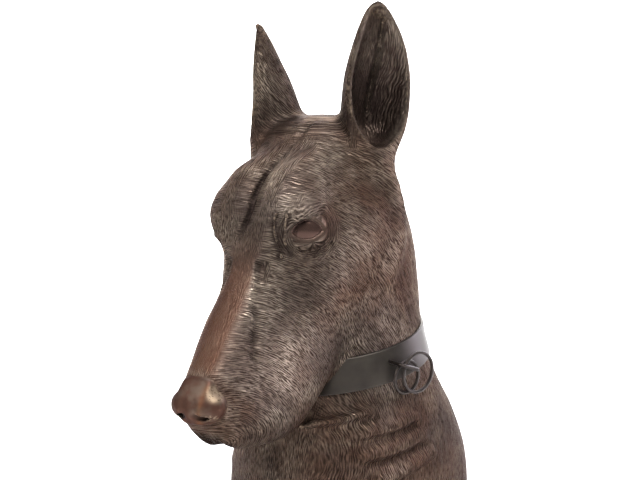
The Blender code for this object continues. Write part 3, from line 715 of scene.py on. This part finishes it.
def store(mesh, name, values):
    """Values kept on the mesh's points: one number or three for each."""
    kind, field = ("FLOAT", "value") if values.ndim == 1 else ("FLOAT_VECTOR", "vector")
    made = mesh.attributes.new(name, kind, "POINT")
    made.data.foreach_set(field, np.ascontiguousarray(values, np.float32).ravel())


side_comb, front_comb, eye_comb, ear_comb, shares = combing(points, normals)
combed = {"comb_side": side_comb, "comb_front": front_comb, "comb_eye": eye_comb,
          "comb_ear": ear_comb, "comb_shares": shares}
for name, values in (*combed.items(), *masks(points, normals).items()):
    store(kept, name, values)
print("bust", len(kept.vertices), "points", len(kept.polygons), "faces")

# %% [markdown]
# ## Bronze
# Patinated bronze is metal under a thin brown skin: dark in the recesses, from patina and painted
# shade, and brighter and smoother on the ridges, from hands and weather and painted highlights.
# One material does all of it from the masks, so the change from one finish to the next stays soft.

# %% Nodes and colours
def linear(code):
    """Screen colour written as hex, turned to linear light."""
    parts = [int(code[i:i + 2], 16) / 255.0 for i in (1, 3, 5)]
    return (*[c / 12.92 if c <= 0.04045 else ((c + 0.055) / 1.055) ** 2.4 for c in parts], 1.0)


def add(tree, kind, links=None, **settings):
    """A shader node with its settings; links names its inputs and what feeds each one."""
    node = tree.nodes.new(kind)
    for key, value in settings.items():
        setattr(node, key, value)
    for key, value in (links or {}).items():
        socket = node.inputs[key]
        if isinstance(value, bpy.types.NodeSocket):
            tree.links.new(value, socket)
        else:
            socket.default_value = value
    return node


def math(tree, operation, a, b=0.0, c=0.0):
    return add(tree, "ShaderNodeMath", {0: a, 1: b, 2: c}, operation=operation).outputs[0]


def blend(tree, share, a, b):
    """Colour a where share is 0 and b where it is 1."""
    node = add(tree, "ShaderNodeMix", data_type="RGBA")
    for socket, value in zip((node.inputs[0], node.inputs[6], node.inputs[7]), (share, a, b)):
        if isinstance(value, bpy.types.NodeSocket):
            tree.links.new(value, socket)
        else:
            socket.default_value = value
    return node.outputs[2]


def ramp(tree, value, low, high):
    """0 below low, 1 above high, and a smooth rise between."""
    links = {0: value, 1: low, 2: high}
    return add(tree, "ShaderNodeMapRange", links, interpolation_type="SMOOTHSTEP").outputs[0]


def number(tree, name):
    return add(tree, "ShaderNodeAttribute", attribute_name=name).outputs["Fac"]


def noise_at(tree, place, scale, detail=3.0):
    links = {"Vector": place, "Scale": scale, "Detail": detail}
    return add(tree, "ShaderNodeTexNoise", links).outputs["Fac"]


STROKE_SPACING = 1.55  # millimetres; the real strokes are near 1 mm, too fine for the render
STROKE_LENGTH = 6.0
STROKE_DEPTH = 0.0012


def strokes_group():
    """Chased hair: a row of parallel ridges, one each spacing, bent by two wanders so that
    no stroke is straight, and broken up by noise stretched along them. Lengths are in
    millimetres."""
    tree = bpy.data.node_groups.new("Chased hair", "ShaderNodeTree")
    tree.interface.new_socket("Comb", in_out="INPUT", socket_type="NodeSocketVector")
    tree.interface.new_socket("Height", in_out="OUTPUT", socket_type="NodeSocketFloat")
    enter, leave = tree.nodes.new("NodeGroupInput"), tree.nodes.new("NodeGroupOutput")
    comb = enter.outputs["Comb"]

    def noise(across, along, detail):
        squeezed = add(tree, "ShaderNodeVectorMath", {0: comb, 1: (1.0 / across, 1.0 / along, 1.0)},
                       operation="MULTIPLY").outputs[0]
        return noise_at(tree, squeezed, 1.0, detail)

    part = add(tree, "ShaderNodeSeparateXYZ", {0: comb}).outputs
    across = math(tree, "MULTIPLY_ADD", noise(11.0, 24.0, 1.0), 7.0, part[0])
    across = math(tree, "MULTIPLY_ADD", noise(3.0, 8.0, 1.0), 1.7, across)
    wave = math(tree, "SINE", math(tree, "MULTIPLY", across, 2.0 * np.pi / STROKE_SPACING))
    height = math(tree, "MULTIPLY_ADD", wave, 0.11, noise(0.6 * STROKE_SPACING, STROKE_LENGTH, 2.5))
    tree.links.new(ramp(tree, height, 0.26, 0.72), leave.inputs["Height"])
    return tree


hair_group = strokes_group()


def strokes(tree, comb):
    node = add(tree, "ShaderNodeGroup", node_tree=hair_group)
    tree.links.new(add(tree, "ShaderNodeAttribute", attribute_name=comb).outputs["Vector"], node.inputs[0])
    return node.outputs[0]


# %% Chased bronze of the casting
def new_material(name):
    made = bpy.data.materials.new(name)
    made.use_nodes = True
    return made, made.node_tree, made.node_tree.nodes["Principled BSDF"]


def lerp(tree, share, a, b):
    """Number a where share is 0 and b where it is 1."""
    return math(tree, "MULTIPLY_ADD", math(tree, "SUBTRACT", b, a), share, a)


def coat(tree, tone, share, most, code):
    """The tone under a coat of another colour, most thick where share is 1."""
    if most < 1.0:
        share = math(tree, "MULTIPLY", share, most)
    return blend(tree, share, tone, linear(code))


# Cast bronze, chased by hand and patinated: brown, dull in the strokes' grooves, which carry
# painted shade, and with painted highlights as small glints on their tops
bronze, tree, shader = new_material("Patinated chased bronze")
share = add(tree, "ShaderNodeAttribute", attribute_name="comb_shares").outputs["Vector"]
share = add(tree, "ShaderNodeSeparateXYZ", {0: share}).outputs
height = lerp(tree, share[0], strokes(tree, "comb_side"), strokes(tree, "comb_front"))
height = lerp(tree, share[1], height, strokes(tree, "comb_eye"))
height = lerp(tree, share[2], height, strokes(tree, "comb_ear"))
hair, recess, ridge = number(tree, "hair"), number(tree, "recess"), number(tree, "ridge")
ball, nose, bridge, chin = (number(tree, n) for n in ("ball", "nose", "bridge", "chin"))
hollow, band, wing, streak = (number(tree, n) for n in ("hollow", "band", "wing", "streak"))
in_ear, lid = number(tree, "in_ear"), number(tree, "lid")
position = add(tree, "ShaderNodeTexCoord").outputs["Object"]
cloud = noise_at(tree, position, 28.0)
grain = noise_at(tree, position, 420.0)
hairy = math(tree, "MULTIPLY", height, hair)

# Patches a hand wide drift between grey brown and red brown
drifts = noise_at(tree, position, 11.0)
tone = blend(tree, ramp(tree, drifts, 0.38, 0.66), linear("#534841"), linear("#564237"))
# Painted highlight on the muzzle's sides and the left brow, together with the ears' light rims
tone = coat(tree, tone, band, 0.45, "#83766c")
tone = coat(tree, tone, in_ear, 0.8, "#352a26")
tone = coat(tree, tone, bridge, 0.8, "#4f3529")
# The nose is smooth and clouded, with a tan patch on the left wing that is polished by rubbing and also a
# painted highlight, dark specks and an orange streak
pad = ramp(tree, noise_at(tree, position, 45.0), 0.42, 0.60)
tone = blend(tree, nose, tone, blend(tree, pad, linear("#47322a"), linear("#51443b")))
# Tan patch on the left wing: polished by rubbing, and also a painted highlight
tone = coat(tree, tone, wing, 1.0, "#7d6d5b")
specks = ramp(tree, noise_at(tree, position, 620.0), 0.56, 0.66)
tone = coat(tree, tone, math(tree, "MULTIPLY", wing, specks), 0.8, "#2b201a")
tone = coat(tree, tone, streak, 1.0, "#70472a")
# Painted shade on the lids round the ball
tone = coat(tree, tone, lid, 0.6, "#33261f")
tone = coat(tree, tone, ball, 1.0, "#4b3a34")
tone = coat(tree, tone, chin, 1.0, "#2c201a")
# Painted highlights on the stroke tops, in clouds and most in the band; painted shade darkens the grooves,
# patina and painted shade the recesses
painted_glint = math(tree, "MULTIPLY", hairy, ramp(tree, cloud, 0.35, 0.75))
painted_glint = math(tree, "MULTIPLY", painted_glint, lerp(tree, band, 0.40, 1.0))
tone = coat(tree, tone, painted_glint, 1.0, "#b9a996")
# Painted shade in the grooves of the strokes
dark = math(tree, "MULTIPLY", math(tree, "SUBTRACT", 1.0, height), hair)
tone = coat(tree, tone, dark, 0.88, "#1e1612")
# Darker in the recesses: patina and painted shade
tone = coat(tree, tone, ramp(tree, recess, 0.20, 0.90), 0.80, "#1f1715")
# Painted shade low in the ear's hollow
tone = coat(tree, tone, hollow, 0.90, "#1a1112")
# Ridges lighter in specks: wear, and painted highlight
wear_and_sheen = math(tree, "MULTIPLY", ramp(tree, ridge, 0.35, 0.9), ramp(tree, grain, 0.42, 0.65))
tone = coat(tree, tone, wear_and_sheen, 0.45, "#a08d77")
# Patina is rougher in the grooves and on the nose, and smoothest on the ball
rough = math(tree, "MULTIPLY_ADD", dark, 0.25, 0.25)
rough = math(tree, "MULTIPLY_ADD", grain, 0.14, rough)
rough = math(tree, "MULTIPLY_ADD", nose, 0.18, rough)
rough = math(tree, "MULTIPLY_ADD", ball, -0.08, rough)
rough = math(tree, "MULTIPLY_ADD", lid, 0.2, rough)
pits = math(tree, "MULTIPLY", grain, math(tree, "SUBTRACT", 1.0, ball))
bumped = math(tree, "MULTIPLY_ADD", pits, 0.14, hairy)
bump = add(tree, "ShaderNodeBump", {"Height": bumped, "Distance": STROKE_DEPTH, "Strength": 1.0})
tree.links.new(tone, shader.inputs["Base Color"])
tree.links.new(rough, shader.inputs["Roughness"])
tree.links.new(bump.outputs[0], shader.inputs["Normal"])
shader.inputs["Metallic"].default_value = 0.8
shader.inputs["Specular Tint"].default_value = linear("#93857a")
kept.materials.clear()
kept.materials.append(bronze)
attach(bust, "root")
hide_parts("dog_bust")

# %% [markdown]
# ## Collar
# The collar is a band: a flat section with rounded edges, carried round the neck's oval in a
# tilted plane. It is swept in numpy, one row of section points for each angle. A curve with
# a bevel would do it too, but its section would twist on the tilted oval.

# %% Collar
COLLAR_WIDTH = 0.028
COLLAR_PROUD = 0.0022
COLLAR_SEAT = 0.0018
COLLAR_TILT = np.radians(14.5)
COLLAR_HEIGHT = 0.43 * 0.336
COLLAR_STEPS = 360


def collar_ring(angle, level, proud):
    """Point of the neck's oval in the collar's tilted plane, moved out by proud."""
    height = np.full_like(angle, COLLAR_HEIGHT + level) / MM
    z = height
    for _ in range(12):
        wide, middle, deep = neck_sizes(z)
        z = height + np.tan(COLLAR_TILT) * (middle + deep * np.sin(angle))
    wide, middle, deep = (size * MM for size in neck_sizes(z))
    across, along = (wide + proud) * np.cos(angle), middle + (deep + proud) * np.sin(angle)
    return np.stack([across, along, z * MM], -1)


def ring_faces(rows, columns):
    """Quads of a closed grid that wraps in both directions: each joins a point to the next
    one along the row, and to the same two in the next row."""
    i, j = np.meshgrid(np.arange(rows), np.arange(columns), indexing="ij")
    i2, j2 = (i + 1) % rows, (j + 1) % columns
    faces = [i * columns + j, i * columns + j2, i2 * columns + j2, i2 * columns + j]
    return np.stack(faces, -1).reshape(-1, 4)


half = COLLAR_WIDTH * 0.5 / np.cos(COLLAR_TILT)
edge = 0.0011
bend = np.linspace(0.0, np.pi / 2.0, 6)
corner = np.stack([half - edge + edge * np.cos(bend), COLLAR_PROUD - edge + edge * np.sin(bend)], 1)
line = np.linspace(half - edge, -half + edge, 9)[1:-1]
crown = np.stack([line, COLLAR_PROUD + 0.0004 * (1.0 - (line / half) ** 2)], 1)
seat = [(-half, -COLLAR_SEAT), (half, -COLLAR_SEAT)]
section = np.concatenate([seat, corner, crown, (corner * (-1, 1))[::-1]])
angle = np.linspace(0.0, 2.0 * np.pi, COLLAR_STEPS, endpoint=False)
rows = np.stack([collar_ring(angle, level, out) for level, out in section], axis=1)
collar = mesh_piece("bronze_collar", rows.reshape(-1, 3), ring_faces(COLLAR_STEPS, len(section)))
print("collar", rows.shape)

# Cast bronze filed smooth under a grey patina: soft broad reflections with faint clouds
grey, tree, shader = new_material("Smooth grey bronze")
position = add(tree, "ShaderNodeTexCoord").outputs["Object"]
cloud = noise_at(tree, position, 60.0, 4.0)
tree.links.new(blend(tree, cloud, linear("#302c29"), linear("#4d4741")), shader.inputs["Base Color"])
tree.links.new(math(tree, "MULTIPLY_ADD", cloud, 0.25, 0.30), shader.inputs["Roughness"])
shader.inputs["Metallic"].default_value = 0.9
collar.data.materials.append(grey)
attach(collar, "root")
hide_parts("collar")

# %% [markdown]
# ## Staple and rings
# The staple and rings keep their CAD shapes, which already have the right wire. The wire is
# dark, mottled brighter in places.

# %% Staple and rings
# Drawn bronze wire, nearly black with patina: narrow glints, mottled about every 5 mm
wire, tree, shader = new_material("Dark bronze wire")
position = add(tree, "ShaderNodeTexCoord").outputs["Object"]
cloud = noise_at(tree, position, 220.0)
tree.links.new(blend(tree, cloud, linear("#242020"), linear("#48413c")), shader.inputs["Base Color"])
tree.links.new(math(tree, "MULTIPLY_ADD", cloud, 0.2, 0.28), shader.inputs["Roughness"])
shader.inputs["Metallic"].default_value = 0.95
for name in ("ring_staple", "ring_large", "ring_small"):
    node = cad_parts[name]
    node.data.materials.clear()
    node.data.materials.append(wire)

# %% [markdown]
# ## Stage, light and camera
# A white sweep of paper runs under and behind the bust. A large soft key light stands above
# the camera, a fill to its left, one light straight overhead, and a weak cool one behind on
# the right, as the photo's highlights show. The last one lights the paper alone.

# %% Stage
sweep = [(-3.0, 0.0), (1.2, 0.0)]
sweep += [(1.2 + 0.8 * np.sin(t), 0.8 - 0.8 * np.cos(t)) for t in np.linspace(0.1, np.pi / 2.0, 12)]
sweep += [(2.0, 4.0)]
profile = np.array([(0.0, y, z) for y, z in sweep])
width = np.array([-4.0, 4.0])
grid = profile[:, None] + width[None, :, None] * np.array([1.0, 0.0, 0.0])
turned = np.array(Matrix.Rotation(np.radians(33.0), 3, "Z"))
n = len(profile)
i = np.arange(n - 1)[:, None] * 2
floor = mesh_piece("floor", grid.reshape(-1, 3) @ turned.T, i + np.array([[0, 1, 3, 2]]))
# Matt white paper: no gloss, so no reflection of the lights
paper, _, shader = new_material("White paper sweep")
shader.inputs["Base Color"].default_value = linear("#f6f6f6")
shader.inputs["Roughness"].default_value = 0.9
floor.data.materials.append(paper)

world = bpy.data.worlds.new("Soft studio")
bpy.context.scene.world = world
world.use_nodes = True
sky = world.node_tree.nodes["Background"]
sky.inputs["Color"].default_value = (1.0, 1.0, 1.0, 1.0)
sky.inputs["Strength"].default_value = 0.50


# %% Camera and lights
def soft_light(name, place, target, size, power, colour="#ffffff"):
    """Round soft light at a place, turned to face the target."""
    light = bpy.data.lights.new(name, "AREA")
    light.shape = "DISK"
    light.size = size
    light.energy = power
    light.color = linear(colour)[:3]
    made = bpy.data.objects.new(name, light)
    bpy.context.scene.collection.objects.link(made)
    made.location = place
    made.rotation_euler = (Vector(target) - Vector(place)).to_track_quat("-Z", "Y").to_euler()


HEAD = np.array([0.0, -0.143, 0.240])
AZIMUTH, ELEVATION, DISTANCE = np.radians(33.0), np.radians(4.0), 1.2
SHIFT_RIGHT, SHIFT_UP = -0.053, -0.003
FOCAL_PIXELS, PICTURE_WIDTH, SENSOR = 1420.0, 640.0, 36.0
level = np.cos(ELEVATION)
back = np.array([np.sin(AZIMUTH) * level, -np.cos(AZIMUTH) * level, np.sin(ELEVATION)])
right = np.array([np.cos(AZIMUTH), np.sin(AZIMUTH), 0.0])
up = np.cross(back, right)
eye = HEAD - SHIFT_RIGHT * right - SHIFT_UP * up + DISTANCE * back
# Each light: metres to the right, up and back towards the camera from the head, width, watts
LIGHTS = {"key": ((0.35, 1.2, 0.9), 0.55, 27.0, "#ffffff"),
          "fill": ((-1.0, 0.7, 0.7), 0.7, 13.0, "#ffffff"),
          "top": ((0.15, 1.3, -0.1), 0.7, 9.0, "#f2eeff"),
          "rim": ((1.0, 0.3, -0.5), 0.6, 8.5, "#eeeaff")}
for name, (place, size, power, colour) in LIGHTS.items():
    place = HEAD + place[0] * right + place[1] * up + place[2] * back
    soft_light(name, place, HEAD, size, power, colour)
soft_light("backdrop", HEAD + 1.6 * up - 1.2 * back, HEAD - 3.2 * back - 0.1 * up, 1.6, 150.0)

camera = bpy.data.cameras.new("camera")
camera.sensor_width = SENSOR
camera.lens = FOCAL_PIXELS / PICTURE_WIDTH * SENSOR
camera.clip_start, camera.clip_end = 0.05, 20.0
camera_object = bpy.data.objects.new("camera", camera)
bpy.context.scene.collection.objects.link(camera_object)
camera_object.matrix_world = Matrix.Translation(eye) @ Matrix(np.stack([right, up, back], 1)).to_4x4()
bpy.context.scene.camera = camera_object
bpy.context.scene.view_settings.view_transform = "Standard"
